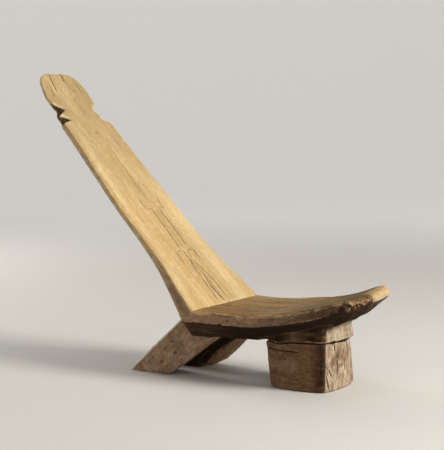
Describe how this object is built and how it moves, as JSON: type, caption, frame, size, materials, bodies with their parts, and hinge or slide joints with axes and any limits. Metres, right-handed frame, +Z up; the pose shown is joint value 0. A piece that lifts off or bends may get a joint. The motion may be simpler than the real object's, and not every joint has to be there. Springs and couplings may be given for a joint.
{
  "type": "low reclining chair",
  "caption": "Low three-legged reclining chair in carved hardwood: thin sloping back with a notched head, curled seat, two slanting rear legs and a square front leg block on blind dowels.",
  "frame": {"origin": "centre of the bounding box on the floor", "axes": "+X towards the front of the seat, +Y to the sitter's left, +Z up"},
  "size_m": [0.7734, 0.259, 0.6033],
  "materials": {
    "back_wood": "hand-polished honey hardwood with a dry lengthwise grain",
    "seat_wood": "use-polished brown hardwood, worn glossy at the front",
    "leg_wood": "matt greyed hardwood, handled and soiled",
    "block_wood": "dry greyed hardwood with scratches and end checks",
    "dowel_wood": "bare split hardwood"
  },
  "bodies": {
    "root": {"back_plank": "back_wood", "seat_plank": "seat_wood", "rear_leg_left": "leg_wood", "rear_leg_right": "leg_wood", "front_leg_block": "block_wood", "back_dowel_left": "dowel_wood", "back_dowel_right": "dowel_wood", "rear_leg_dowel_left": "dowel_wood", "rear_leg_dowel_right": "dowel_wood", "front_leg_dowel_rear": "dowel_wood", "front_leg_dowel_front": "dowel_wood"}
  },
  "joints": []
}
